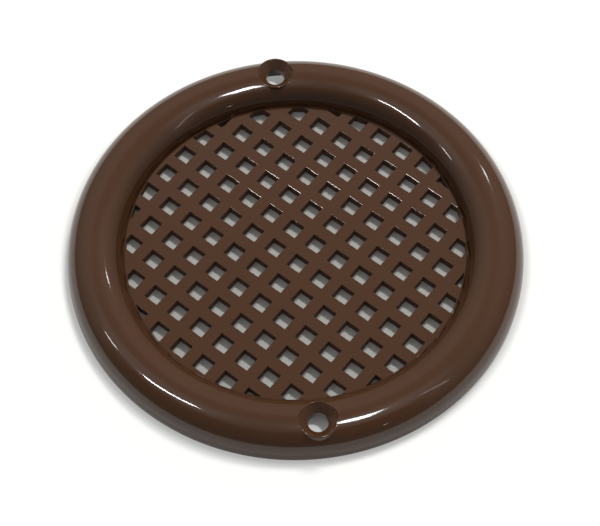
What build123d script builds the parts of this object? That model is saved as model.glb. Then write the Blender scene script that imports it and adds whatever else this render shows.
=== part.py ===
# Round vent cover, moulded in one piece: a flat grille of square holes inside a half-round rim.
# Frame: origin at the centre of the wall face, +Z out of the visible face, the two screws on the Y axis.
import os
from math import ceil, hypot, radians, sqrt, tan

from build123d import *

# Rim, in millimetres
outer_d = 100.0         # across the rim, at the wall
bead_w = 12.7           # the half-round, from edge to edge
rim_land = 0.65         # straight edge between the wall and the half-round
rim_wall = 2.0          # thickness of the rim, which is hollow behind

# Grille
plate_t = 2.0           # flush with the wall face
hole_side = 3.6         # square holes
bar_w = 2.7             # bars between them
hole_edge = 0.25        # broken front edge of each hole
lattice_turn = 45.0     # the bars cross the line of the screws at this angle
grille_margin = 0.15    # plain plate between the holes and the rim
smallest_cut = 0.5      # a border hole that would reach less far into the grille is left out

# Screw cups
screw_out = 0.35        # screws outside the middle of the rim
screw_d = 4.3           # clearance hole
screw_land = 1.4        # straight wall of the hole, below its cone
cup_d = 8.0             # mouth of the countersink
cup_angle = 90.0
cup_drop = 0.5          # mouth below the crown of the rim
cup_lip = 0.35          # rounded lip around the mouth

# Worked out from the sizes above
bead_r = bead_w / 2
bead_centre_r = outer_d / 2 - bead_r
hollow_r = bead_r - rim_wall
crown_z = rim_land + bead_r
rim_foot_r = bead_centre_r - sqrt(bead_r**2 - (plate_t - rim_land) ** 2)
plate_r = bead_centre_r - bead_r + rim_wall / 2
grille_r = rim_foot_r - grille_margin
pitch = hole_side + bar_w
cells = 2 * ceil(grille_r / pitch)
mouth_side = hole_side + 2 * hole_edge
cup_z = crown_z - cup_drop
cone_depth = (cup_d - screw_d) / 2 / tan(radians(cup_angle / 2))
web_z = cup_z - cone_depth - screw_land
collar_r = cup_d / 2 + cup_lip
screw_r = bead_centre_r + screw_out
screw_places = [-screw_r, screw_r]
on_base = (Align.CENTER, Align.CENTER, Align.MIN)


def nearest_corner(cell):
    # distance from the centre of the grille to the nearest corner of a cell's hole
    half = hole_side / 2
    return hypot(abs(cell.position.X) - half, abs(cell.position.Y) - half)


# An even number of cells each way puts a crossing of two bars at the centre
lattice = GridLocations(pitch, pitch, cells, cells)
hole_places = [cell for cell in lattice if nearest_corner(cell) < grille_r - smallest_cut]
lattice_plane = Plane.XY.rotated((0, 0, lattice_turn))

# Cutter for one hole: its chamfered head breaks the front edge and stands clear of the plate
with BuildPart() as hole_cutter:
    with Locations((0, 0, plate_t - hole_edge)):
        Box(mouth_side, mouth_side, 2 * hole_edge, align=on_base)
    chamfer(hole_cutter.edges().group_by(Axis.Z)[0], hole_edge)
    Box(hole_side, hole_side, plate_t, align=on_base)

# All the holes, cut off round at the border of the grille
with BuildPart() as grille_holes:
    with Locations(lattice_plane):
        with Locations(*hole_places):
            add(hole_cutter.part)
    Cylinder(grille_r, plate_t + hole_edge, align=on_base, mode=Mode.INTERSECT)

# Grille plate, reaching into the wall of the rim
with BuildPart() as grille:
    Cylinder(plate_r, plate_t, align=on_base)
    add(grille_holes.part, mode=Mode.SUBTRACT)

with BuildPart() as vent_cover:
    # Half-round rim
    with BuildSketch(Plane.XZ):
        with BuildLine():
            Polyline(
                (bead_centre_r - bead_r, rim_land),
                (bead_centre_r - bead_r, 0),
                (bead_centre_r + bead_r, 0),
                (bead_centre_r + bead_r, rim_land),
            )
            CenterArc((bead_centre_r, rim_land), bead_r, 0, 180)
        make_face()
    revolve(axis=Axis.Z)

    # Hollow behind the rim, open at the wall
    with BuildSketch(Plane.XZ):
        with BuildLine():
            Polyline(
                (bead_centre_r - hollow_r, rim_land),
                (bead_centre_r - hollow_r, 0),
                (bead_centre_r + hollow_r, 0),
                (bead_centre_r + hollow_r, rim_land),
            )
            CenterArc((bead_centre_r, rim_land), hollow_r, 0, 180)
        make_face()
    revolve(axis=Axis.Z, mode=Mode.SUBTRACT)

    # Round collar of each screw cup, standing proud of the rim's flanks
    for screw_y in screw_places:
        with BuildSketch(Plane.YZ) as collar_half:
            with Locations((screw_y, web_z)):
                Rectangle(collar_r, cup_z - web_z, align=(Align.MIN, Align.MIN))
            mouth_corner = collar_half.vertices().group_by(Axis.Z)[-1].sort_by(Axis.Y)[-1]
            fillet(mouth_corner, cup_lip)
        revolve(axis=Axis((0, screw_y, 0), (0, 0, 1)))

    # Countersunk screw holes
    with Locations(*[(0, screw_y, cup_z) for screw_y in screw_places]):
        CounterSinkHole(screw_d / 2, cup_d / 2, counter_sink_angle=cup_angle)

    add(grille.part)

vent_cover.part.label = "vent_cover"

os.makedirs("parts", exist_ok=True)
export_step(vent_cover.part, "parts/vent_cover.step")
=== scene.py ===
import math

import bmesh
import bpy
from mathutils import Matrix, Vector


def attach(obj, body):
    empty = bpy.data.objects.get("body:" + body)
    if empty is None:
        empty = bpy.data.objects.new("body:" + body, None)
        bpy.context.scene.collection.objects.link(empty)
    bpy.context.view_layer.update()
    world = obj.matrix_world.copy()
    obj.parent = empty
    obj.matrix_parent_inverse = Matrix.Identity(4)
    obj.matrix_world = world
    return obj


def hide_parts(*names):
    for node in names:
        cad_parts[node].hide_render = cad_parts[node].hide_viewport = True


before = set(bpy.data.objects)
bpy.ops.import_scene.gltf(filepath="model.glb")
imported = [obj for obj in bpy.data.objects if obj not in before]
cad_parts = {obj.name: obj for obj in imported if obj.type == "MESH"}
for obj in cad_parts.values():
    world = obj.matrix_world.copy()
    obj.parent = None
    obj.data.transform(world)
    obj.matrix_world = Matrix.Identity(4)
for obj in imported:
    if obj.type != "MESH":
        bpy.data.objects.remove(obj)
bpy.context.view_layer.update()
mm = 0.001  # sizes below are in millimetres, the scene in metres
print("frame loaded:", sorted(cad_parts))


# Nodes as Python expressions

class Wire:
    # a node's output; each operator adds one Math node to the same tree
    def __init__(self, maker, socket):
        self.maker = maker
        self.socket = socket

    def math(self, operation, first, second=None):
        sockets = {0: first} if second is None else {0: first, 1: second}
        return self.maker.add("ShaderNodeMath", {"operation": operation}, sockets)

    def __add__(self, other): return self.math("ADD", self, other)
    def __radd__(self, other): return self.math("ADD", other, self)
    def __sub__(self, other): return self.math("SUBTRACT", self, other)
    def __rsub__(self, other): return self.math("SUBTRACT", other, self)
    def __mul__(self, other): return self.math("MULTIPLY", self, other)
    def __rmul__(self, other): return self.math("MULTIPLY", other, self)
    def __truediv__(self, other): return self.math("DIVIDE", self, other)
    def __rtruediv__(self, other): return self.math("DIVIDE", other, self)
    def __pow__(self, other): return self.math("POWER", self, other)
    def __rpow__(self, other): return self.math("POWER", other, self)
    def __lt__(self, other): return self.math("LESS_THAN", self, other)
    def __gt__(self, other): return self.math("GREATER_THAN", self, other)
    def __abs__(self): return self.math("ABSOLUTE", self)

    def out(self, name):
        return Wire(self.maker, self.socket.node.outputs[name])


class NodeMaker:
    # adds nodes to one tree: the type, its settings first, then what its sockets hold
    def __init__(self, tree):
        self.tree = tree

    def add(self, kind, settings=None, sockets=None):
        node = self.tree.nodes.new(kind)
        for name, value in (settings or {}).items():
            if name == "stops":
                ramp = node.color_ramp.elements
                while len(ramp) < len(value):
                    ramp.new(0.5)
                for stop, (place, colour) in zip(ramp, value):
                    stop.position = place
                    stop.color = colour
            else:
                setattr(node, name, value)
        for key, value in (sockets or {}).items():
            for one in value if isinstance(value, list) else [value]:
                if isinstance(one, Wire):
                    self.tree.links.new(one.socket, node.inputs[key])
                else:
                    node.inputs[key].default_value = one
        shown = [socket for socket in node.outputs if socket.enabled]
        return Wire(self, shown[0]) if shown else node


def smoothStep(make, value, low, high, atLow=0.0, atHigh=1.0):
    return make.add("ShaderNodeMapRange", {"interpolation_type": "SMOOTHSTEP"}, {
        "Value": value, "From Min": low, "From Max": high, "To Min": atLow, "To Max": atHigh})


def grey(make, value):
    return make.add("ShaderNodeCombineColor", None, {"Red": value, "Green": value, "Blue": value})


# Turned and square shapes

def meshObject(name, bm):
    bmesh.ops.recalc_face_normals(bm, faces=bm.faces)
    mesh = bpy.data.meshes.new(name)
    bm.to_mesh(mesh)
    bm.free()
    made = bpy.data.objects.new(name, mesh)
    bpy.context.scene.collection.objects.link(made)
    return made


def loftRings(name, rings):
    # joins rings of equally many points, and closes both ends flat
    bm = bmesh.new()
    loops = [[bm.verts.new(Vector(point) * mm) for point in ring] for ring in rings]
    for lower, upper in zip(loops, loops[1:]):
        for k in range(len(lower)):
            nextK = (k + 1) % len(lower)
            bm.faces.new((lower[k], lower[nextK], upper[nextK], upper[k]))
    bm.faces.new(loops[0])
    bm.faces.new(loops[-1])
    return meshObject(name, bm)


def turned(name, outline, turns):
    # outline of (radius, height) swept round the Z axis
    angles = [2 * math.pi * k / turns for k in range(turns)]
    rings = [[(r * math.cos(a), r * math.sin(a), z) for a in angles] for r, z in outline]
    return loftRings(name, rings)


def squarePeg(name, outline):
    # outline of (half side, height)
    rings = [[(-h, -h, z), (h, -h, z), (h, h, z), (-h, h, z)] for h, z in outline]
    return loftRings(name, rings)


def arc(centre, radius, fromDeg, toDeg, steps):
    found = []
    for k in range(steps + 1):
        a = math.radians(fromDeg + (toDeg - fromDeg) * k / steps)
        found.append((centre[0] + radius * math.cos(a), centre[1] + radius * math.sin(a)))
    return found


# Rim and plate, one turned blank

rim = {
    "outerR": 50.0,
    "beadR": 6.35,      # the half-round
    "land": 0.65,       # straight edge under it
    "wall": 2.0,        # hollow behind
    "turns": 288,
    "beadSteps": 56,
    "hollowSteps": 28,
    "crispDeg": 24.0,   # edges that turn by more than this are not smoothed
}
grille = {
    "plateT": 2.0,
    "holeSide": 3.55,
    "bar": 2.75,
    "turnDeg": 45.0,    # bars against the line of the screws
    "edge": 0.08,       # broken front edge of each hole
    "edgeDeg": 28.0,    # and its slope
    "edgePast": 0.3,    # its cutter goes on this far above the face
    "margin": 0.15,     # plain plate between holes and rim
    "smallestCut": 0.5, # border holes that reach in less than this are left out
    "clipHeight": 20.0,
}
cutPast = 1.0           # how far a cutter reaches past the cover's faces

beadCentreR = rim["outerR"] - rim["beadR"]
crownZ = rim["land"] + rim["beadR"]
plateRise = math.degrees(math.asin((grille["plateT"] - rim["land"]) / rim["beadR"]))
beadArc = arc((beadCentreR, rim["land"]), rim["beadR"], 180 - plateRise, 0, rim["beadSteps"])
hollowR = rim["beadR"] - rim["wall"]
hollowArc = arc((beadCentreR, rim["land"]), hollowR, 0, 180, rim["hollowSteps"])
blankOutline = (
    beadArc
    + [(rim["outerR"], 0), (beadCentreR + hollowR, 0)]
    + hollowArc
    + [(beadCentreR - hollowR, 0)]
)
ventCover = turned("ventCover", blankOutline, rim["turns"])
grilleR = beadArc[0][0] - grille["margin"]
print("blank turned:", len(ventCover.data.polygons), "faces")

# Screw cups: a round collar to add, and the countersunk hole to cut

cup = {
    "screwR": 44.0,     # both screws from the centre
    "holeR": 2.15,
    "holeLand": 1.4,    # straight wall of the hole
    "mouthR": 3.85,     # top of the cone, which stands at 45 degrees
    "drop": 0.5,        # mouth below the crown
    "lipRound": 0.32,
    "innerRound": 0.16, # between the cone and the lip
    "flareOut": 0.4,    # the cutter widens above the rounded lip
    "flareUp": 0.2,
    "turns": 96,
    "steps": 6,
}

lip = cup["lipRound"]
inner = cup["innerRound"]
cupZ = crownZ - cup["drop"]
coneFoot = cupZ - (cup["mouthR"] - cup["holeR"])
webZ = coneFoot - cup["holeLand"]
lipR = cup["mouthR"] + inner * math.tan(math.radians(22.5))
collarR = lipR + lip
flareR = collarR + cup["flareOut"]
collarOutline = [(collarR, webZ)] + arc((lipR, cupZ - lip), lip, 0, 90, cup["steps"])
collar = turned("screwCollar", collarOutline, cup["turns"])
cutOutline = [(cup["holeR"], -cutPast), (cup["holeR"], coneFoot)]
cutOutline += arc((lipR, cupZ - inner), inner, 135, 90, cup["steps"] // 2)
cutOutline += arc((collarR, crownZ - lip), lip, 180, 95, cup["steps"])
cutOutline += [(flareR, crownZ + cup["flareUp"]), (flareR, crownZ + cutPast)]
cupCutter = turned("cupCutter", cutOutline, cup["turns"])
print("screw cups turned")

# One square hole of the grille with its broken front edge, as a cutter

halfHole = grille["holeSide"] / 2
slope = math.tan(math.radians(grille["edgeDeg"]))
holeCutter = squarePeg("holeCutter", [
    (halfHole, -cutPast),
    (halfHole, grille["plateT"] - grille["edge"] * slope),
    (halfHole + grille["edge"] + grille["edgePast"], grille["plateT"] + grille["edgePast"] * slope),
])


def nodeInputs(tree, wanted):
    # named inputs; gives back each one's identifier
    return {name: tree.interface.new_socket(name=name, in_out="INPUT", socket_type=kind).identifier
            for name, kind in wanted.items()}


def coverTree():
    tree = bpy.data.node_groups.new("cutVentCover", "GeometryNodeTree")
    keys = nodeInputs(tree, {
        "Blank": "NodeSocketGeometry",
        "Hole cutter": "NodeSocketObject",
        "Collar": "NodeSocketObject",
        "Cup cutter": "NodeSocketObject",
        "Pitch": "NodeSocketFloat",
        "Cells": "NodeSocketInt",
        "Hole side": "NodeSocketFloat",
        "Turn": "NodeSocketFloat",
        "Grille radius": "NodeSocketFloat",
        "Smallest cut": "NodeSocketFloat",
        "Screw radius": "NodeSocketFloat",
        "Clip height": "NodeSocketFloat",
        "Clip sides": "NodeSocketInt",
        "Finish": "NodeSocketMaterial",
    })
    tree.interface.new_socket(name="Cover", in_out="OUTPUT", socket_type="NodeSocketGeometry")
    make = NodeMaker(tree)
    given = make.add("NodeGroupInput")

    def copiesOf(name, points):
        piece = make.add("GeometryNodeObjectInfo", None, {"Object": given.out(name)}).out("Geometry")
        copies = make.add("GeometryNodeInstanceOnPoints", None, {"Points": points, "Instance": piece})
        return make.add("GeometryNodeRealizeInstances", None, {"Geometry": copies})

    def combine(operation, sockets):
        return make.add("GeometryNodeMeshBoolean", {"operation": operation, "solver": "EXACT"}, sockets)

    # screw cups, one at each end of a two-point line
    away = make.add("ShaderNodeCombineXYZ", None, {"Y": given.out("Screw radius")})
    back = make.add("ShaderNodeCombineXYZ", None, {"Y": given.out("Screw radius") * -1})
    ends = make.add("GeometryNodeMeshLine", {"mode": "END_POINTS"},
                    {"Count": 2, "Start Location": back, "Offset": away})
    collars = copiesOf("Collar", ends)
    cups = copiesOf("Cup cutter", ends)
    withCollars = combine("UNION", {"Mesh 2": [given.out("Blank"), collars]})
    withCups = combine("DIFFERENCE", {"Mesh 1": withCollars, "Mesh 2": cups})

    # square holes on a lattice, where the nearest corner is inside the grille
    cells = given.out("Cells")
    span = given.out("Pitch") * (cells - 1)
    lattice = make.add("GeometryNodeMeshGrid", None, {
        "Size X": span, "Size Y": span, "Vertices X": cells, "Vertices Y": cells})
    place = make.add("ShaderNodeSeparateXYZ", None, {0: make.add("GeometryNodeInputPosition")})
    half = given.out("Hole side") / 2
    cornerX = abs(place.out("X")) - half
    cornerY = abs(place.out("Y")) - half
    nearest = (cornerX * cornerX + cornerY * cornerY) ** 0.5
    inside = nearest < given.out("Grille radius") - given.out("Smallest cut")
    places = make.add("GeometryNodeMeshToPoints", None, {"Mesh": lattice, "Selection": inside})
    pegs = copiesOf("Hole cutter", places)
    turn = make.add("ShaderNodeCombineXYZ", None, {"Z": given.out("Turn")})
    pegs = make.add("GeometryNodeTransform", None, {"Geometry": pegs, "Rotation": turn})
    clip = make.add("GeometryNodeMeshCylinder", None, {
        "Vertices": given.out("Clip sides"),
        "Radius": given.out("Grille radius"),
        "Depth": given.out("Clip height"),
    })
    pegs = combine("INTERSECT", {"Mesh 2": [pegs, clip]})
    pierced = combine("DIFFERENCE", {"Mesh 1": withCups, "Mesh 2": pegs})

    whole = make.add("GeometryNodeRealizeInstances", None, {"Geometry": pierced})
    done = make.add("GeometryNodeSetMaterial", None,
                    {"Geometry": whole, "Material": given.out("Finish")})
    make.add("NodeGroupOutput", None, {"Cover": done})
    return tree, keys


# Glossy brown moulded plastic

plastic = {
    "brown": (0.0755, 0.0287, 0.0091),
    "brownDeep": (0.068, 0.0254, 0.008),
    "gloss": 0.075,         # roughness of the polished faces
    "glossSpread": 0.03,
    "wallMatt": 0.8,        # the walls of the grille's holes are not polished
    "wallUnder": 0.02,      # they start this far below the plate's face
    "wallBeside": 0.05,
    "cupMatt": 0.2,         # nor are the screw cups, below their lips
    "cupUnder": 0.8,        # as a share of the lip's rounding
    "cupBeside": 0.1,
    "paintedFootShade": 0.3,       # painted shade: darker towards the foot of the rim's inner flank
    "footR": (38.0, 41.0),
    "footAbove": 0.05,      # and only above the plate's face
    "flowScale": 60.0,      # clouding left by the flow in the mould
    "flowDetail": 3.0,
    "grainScale": 900.0,
    "grainDetail": 2.0,
    "grainStrength": 0.04,
    "grainDepth": 0.0001,   # metres
    "ior": 1.5,
}


def brownPlastic():
    material = bpy.data.materials.new("brownPlastic")
    material.use_nodes = True
    tree = material.node_tree
    tree.nodes.clear()
    make = NodeMaker(tree)
    where = make.add("ShaderNodeTexCoord").out("Object")

    def noise(name):
        return make.add("ShaderNodeTexNoise", {"noise_dimensions": "3D"}, {
            "Vector": where,
            "Scale": plastic[name + "Scale"],
            "Detail": plastic[name + "Detail"],
            "Roughness": 0.5,
        }).out("Fac")

    flow = noise("flow")
    grain = noise("grain")
    colour = make.add("ShaderNodeMix", {"data_type": "RGBA"}, {
        0: flow, 6: (*plastic["brownDeep"], 1), 7: (*plastic["brown"], 1)}).out(2)
    place = make.add("ShaderNodeSeparateXYZ", None, {0: where})
    x, y, z = place.out("X"), place.out("Y"), place.out("Z")
    fromMiddle = (x * x + y * y) ** 0.5

    # painted shade at the foot of the rim's inner flank, where the colour is made darker
    footIn, footOut = plastic["footR"]
    foot = smoothStep(make, fromMiddle, footIn * mm, footOut * mm, 1 - plastic["paintedFootShade"], 1.0)
    shade = 1 - (1 - foot) * (z > (grille["plateT"] + plastic["footAbove"]) * mm)
    colour = make.add("ShaderNodeMix", {"data_type": "RGBA", "blend_type": "MULTIPLY"}, {
        0: 1.0, 6: colour, 7: grey(make, shade)}).out(2)

    # duller hole walls and cups
    inGrille = fromMiddle < (grilleR + plastic["wallBeside"]) * mm
    holeWall = inGrille * (z < (grille["plateT"] - plastic["wallUnder"]) * mm)
    alongY = abs(y) - cup["screwR"] * mm
    fromScrew = (x * x + alongY * alongY) ** 0.5
    nearScrew = fromScrew < (collarR + plastic["cupBeside"]) * mm
    inCup = nearScrew * (z < (cupZ - lip * plastic["cupUnder"]) * mm)
    polish = plastic["gloss"] + (flow + grain - 1) * plastic["glossSpread"]
    roughness = polish + holeWall * plastic["wallMatt"] + inCup * plastic["cupMatt"]

    relief = make.add("ShaderNodeBump", None, {
        "Strength": plastic["grainStrength"], "Distance": plastic["grainDepth"], "Height": grain})
    shader = make.add("ShaderNodeBsdfPrincipled", None, {
        "Base Color": colour, "Roughness": roughness, "Normal": relief, "IOR": plastic["ior"]})
    make.add("ShaderNodeOutputMaterial", None, {"Surface": shader})
    return material


finish = brownPlastic()
tree, keys = coverTree()
pitch = grille["holeSide"] + grille["bar"]
settings = {
    "Hole cutter": holeCutter,
    "Collar": collar,
    "Cup cutter": cupCutter,
    "Pitch": pitch * mm,
    "Cells": 2 * math.ceil(grilleR / pitch),    # even, so two bars cross at the centre
    "Hole side": grille["holeSide"] * mm,
    "Turn": math.radians(grille["turnDeg"]),
    "Grille radius": grilleR * mm,
    "Smallest cut": grille["smallestCut"] * mm,
    "Screw radius": cup["screwR"] * mm,
    "Clip height": grille["clipHeight"] * mm,
    "Clip sides": rim["turns"],
    "Finish": finish,
}
cutting = ventCover.modifiers.new("cutVentCover", "NODES")
cutting.node_group = tree
for name, value in settings.items():
    cutting[keys[name]] = value


def settle(piece, name):
    # the evaluated result becomes the piece's own plain mesh
    graph = bpy.context.evaluated_depsgraph_get()
    mesh = bpy.data.meshes.new_from_object(piece.evaluated_get(graph))
    mesh.name = name
    piece.modifiers.clear()
    piece.data = mesh


settle(ventCover, "ventCover")
for cutter in (holeCutter, collar, cupCutter):
    bpy.data.objects.remove(cutter)
ventCover.data.shade_smooth()
ventCover.data.set_sharp_from_angle(angle=math.radians(rim["crispDeg"]))
weighting = ventCover.modifiers.new("flatFaces", "WEIGHTED_NORMAL")
weighting.keep_sharp = True
settle(ventCover, "ventCover")
print("cover cut:", len(ventCover.data.polygons), "faces")

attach(ventCover, "root")
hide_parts("vent_cover")

# Floor, seen as white around the cover

stage = {
    "floorHalf": 3.0,       # metres, as is the next
    "floorZ": -0.00005,
    "floorPale": 0.58,      # as it lights the cover
    "floorSeen": (0.46, 0.455, 0.43),   # as it is seen, with painted light added to it
    "rampEnd": 80.0,        # the painted light, by distance from the middle: weak under and just outside the cover as painted shade, strong further out
    "ramp": ((37.5, 0.0), (42.0, 0.1), (47.0, 0.26), (50.6, 0.32), (52.0, 0.6), (64.0, 0.62)),
    "spots": ((-1.4, -44.4), (-1.46, 44.26)),   # painted pools of light under the screw holes
    "spotR": 2.25,
    "spotBlur": 0.3,
    "spotLight": 0.34,
}


def paleFloor():
    bm = bmesh.new()
    h = stage["floorHalf"]
    corners = ((-h, -h), (h, -h), (h, h), (-h, h))
    bm.faces.new([bm.verts.new((x, y, stage["floorZ"])) for x, y in corners])
    made = meshObject("paleFloor", bm)
    material = bpy.data.materials.new("paleFloor")
    material.use_nodes = True
    material.node_tree.nodes.clear()
    make = NodeMaker(material.node_tree)
    where = make.add("ShaderNodeTexCoord").out("Object")
    place = make.add("ShaderNodeSeparateXYZ", None, {0: where})

    def distance(fromX, fromY):
        dx = place.out("X") - fromX * mm
        dy = place.out("Y") - fromY * mm
        return (dx * dx + dy * dy) ** 0.5

    # painted light on the floor: it makes the floor white away from the cover, is lower near and under
    # the cover as painted shade, and adds painted pools of light under the screw holes
    stops = [(r / stage["rampEnd"], (v, v, v, 1)) for r, v in stage["ramp"]]
    alongRamp = distance(0, 0) / (stage["rampEnd"] * mm)
    paintedFloorLight = make.add("ShaderNodeValToRGB", {"stops": stops}, {"Fac": alongRamp})
    paintedFloorLight = make.add("ShaderNodeSeparateColor", None, {"Color": paintedFloorLight}).out("Red")
    spotOut = (stage["spotR"] + stage["spotBlur"]) * mm
    spotIn = (stage["spotR"] - stage["spotBlur"]) * mm
    for spot in stage["spots"]:
        paintedFloorLight = paintedFloorLight + smoothStep(make, distance(*spot), spotOut, spotIn, 0.0, stage["spotLight"])

    plain = make.add("ShaderNodeBsdfDiffuse", None, {"Color": (*[stage["floorPale"]] * 3, 1)})
    seen = make.add("ShaderNodeBsdfDiffuse", None, {"Color": (*stage["floorSeen"], 1)})
    light = make.add("ShaderNodeEmission", None, {"Color": grey(make, paintedFloorLight), "Strength": 1.0})
    seen = make.add("ShaderNodeAddShader", None, {0: seen, 1: light})
    path = make.add("ShaderNodeLightPath")
    looked = path.out("Is Camera Ray") + path.out("Is Glossy Ray") + path.out("Is Transmission Ray")
    mixed = make.add("ShaderNodeMixShader", None, {0: looked, 1: plain, 2: seen})
    make.add("ShaderNodeOutputMaterial", None, {"Surface": mixed})
    made.data.materials.append(material)
    return made


floor = paleFloor()

# Soft studio light

studio = {
    "wallLow": 0.29,        # pale walls behind and to the right, at floor level
    "wallHigh": 0.58,       # and higher up
    "wallRise": (0.0, 0.75),
    "sideShare": 0.8,       # beside the cover, against straight behind
    "sideBlend": (-0.2, 0.9),
    "roomLow": 0.29,        # open room in front and to the left
    "roomHigh": 0.2,
    "roomRise": (0.0, 0.3),
    "top": 0.4,
    "topRise": (0.79, 0.88),
    "brightMiddleDeg": 70.0,    # the pale walls, to each side of this part angle
    "brightHalfDeg": 110.0,
    "brightBlend": 0.15,
    "glows": ((176, 63), (-42, 72)),    # soft light around the two long panels
    "glow": 0.45,
    "glowDeg": 24.0,
}
lamps = {
    # strips from one direction to another, each as part angle and elevation; widths in degrees
    "keyLight": {"ends": ((46, 52), (70, 52)), "width": 7, "radiance": 66.0, "on": "matt"},
    "topPanel": {"ends": ((-60, 76.5), (-42, 70)), "width": 8, "radiance": 40.0, "on": "gloss"},
    "leftPanel": {"ends": ((-175, 52.5), (-161, 67)), "width": 1.5, "radiance": 80.0, "on": "gloss"},
    "leftWindow": {"ends": ((168, 41), (173, 45)), "width": 1.6, "radiance": 26.0, "on": "gloss"},
    "backWindow": {"ends": ((52, 40), (53.5, 44)), "width": 1.4, "radiance": 28.0, "on": "gloss"},
    "sideStrip": {"ends": ((-28, 38), (-30, 57)), "width": 2, "radiance": 2.2, "on": "gloss"},
    "smallLamp": {"ends": ((-62, 23), (-60.5, 23)), "width": 1.4, "radiance": 14.0, "on": "gloss"},
}
lampDistance = 1.2


def towards(partDeg, upDeg):
    a, e = math.radians(partDeg), math.radians(upDeg)
    return Vector((math.cos(a) * math.cos(e), math.sin(a) * math.cos(e), math.sin(e)))


def addLamp(name, lamp):
    start, end = (towards(*at) for at in lamp["ends"])
    middle = (start + end).normalized()
    length = 2 * lampDistance * math.tan(start.angle(end) / 2)
    width = 2 * lampDistance * math.tan(math.radians(lamp["width"] / 2))
    data = bpy.data.lights.new(name, "AREA")
    data.shape = "RECTANGLE"
    data.size = length
    data.size_y = width
    data.energy = lamp["radiance"] * math.pi * length * width
    made = bpy.data.objects.new(name, data)
    bpy.context.scene.collection.objects.link(made)
    along = (end - start).normalized()
    across = middle.cross(along)
    axes = Matrix((along, across, middle)).transposed().to_4x4()
    made.matrix_world = Matrix.Translation(middle * lampDistance) @ axes
    made.visible_glossy = lamp["on"] == "gloss"
    made.visible_diffuse = lamp["on"] == "matt"


for name, lamp in lamps.items():
    addLamp(name, lamp)


def softRoom():
    world = bpy.data.worlds.new("studio")
    bpy.context.scene.world = world
    world.use_nodes = True
    world.node_tree.nodes.clear()
    make = NodeMaker(world.node_tree)
    where = make.add("ShaderNodeTexCoord").out("Generated")
    look = make.add("ShaderNodeSeparateXYZ", None, {0: where})
    x, y, z = look.out("X"), look.out("Y"), look.out("Z")
    level = (x * x + y * y + 0.0001) ** 0.5     # never zero

    # pale walls on one side, an open room on the other
    middle = towards(studio["brightMiddleDeg"], 0)
    edge = math.cos(math.radians(studio["brightHalfDeg"]))
    blend = studio["brightBlend"]
    bright = smoothStep(make, (x * middle.x + y * middle.y) / level, edge - blend, edge + blend)
    behind = smoothStep(make, y / level, *studio["sideBlend"])
    wallUp = smoothStep(make, z, *studio["wallRise"])
    walls = studio["wallLow"] + wallUp * (studio["wallHigh"] - studio["wallLow"])
    walls = walls * (studio["sideShare"] + behind * (1 - studio["sideShare"]))
    roomUp = smoothStep(make, z, *studio["roomRise"])
    room = studio["roomLow"] + roomUp * (studio["roomHigh"] - studio["roomLow"])
    around = room + (walls - room) * bright

    strength = around + (studio["top"] - around) * smoothStep(make, z, *studio["topRise"])
    glowEdge = math.cos(math.radians(studio["glowDeg"]))
    for at in studio["glows"]:
        to = towards(*at)
        facing = x * to.x + y * to.y + z * to.z
        strength = strength + studio["glow"] * smoothStep(make, facing, glowEdge, 1.0)
    dome = make.add("ShaderNodeBackground", None, {"Color": (1, 1, 1, 1), "Strength": strength})
    make.add("ShaderNodeOutputWorld", None, {"Surface": dome})


softRoom()
print("stage and lamps set")

# Camera, as in the photograph

camera = {
    "place": (-0.0168, -0.18151, 0.30632),
    "aim": (0.00056, -0.00392, 0.001),
    "rollDeg": -0.663,
    "lens": 97.1,
    "sensor": 36.0,
    "clip": (0.01, 50.0),
}

cameraData = bpy.data.cameras.new("photoCamera")
cameraData.lens = camera["lens"]
cameraData.sensor_width = camera["sensor"]
cameraData.clip_start, cameraData.clip_end = camera["clip"]
photoCamera = bpy.data.objects.new("photoCamera", cameraData)
bpy.context.scene.collection.objects.link(photoCamera)
place = Vector(camera["place"])
aimed = (Vector(camera["aim"]) - place).to_track_quat("-Z", "Y").to_matrix().to_4x4()
rolled = Matrix.Rotation(math.radians(camera["rollDeg"]), 4, "Z")
photoCamera.matrix_world = Matrix.Translation(place) @ aimed @ rolled
bpy.context.scene.camera = photoCamera

view = bpy.context.scene.view_settings
view.view_transform = "Standard"

bpy.context.view_layer.update()
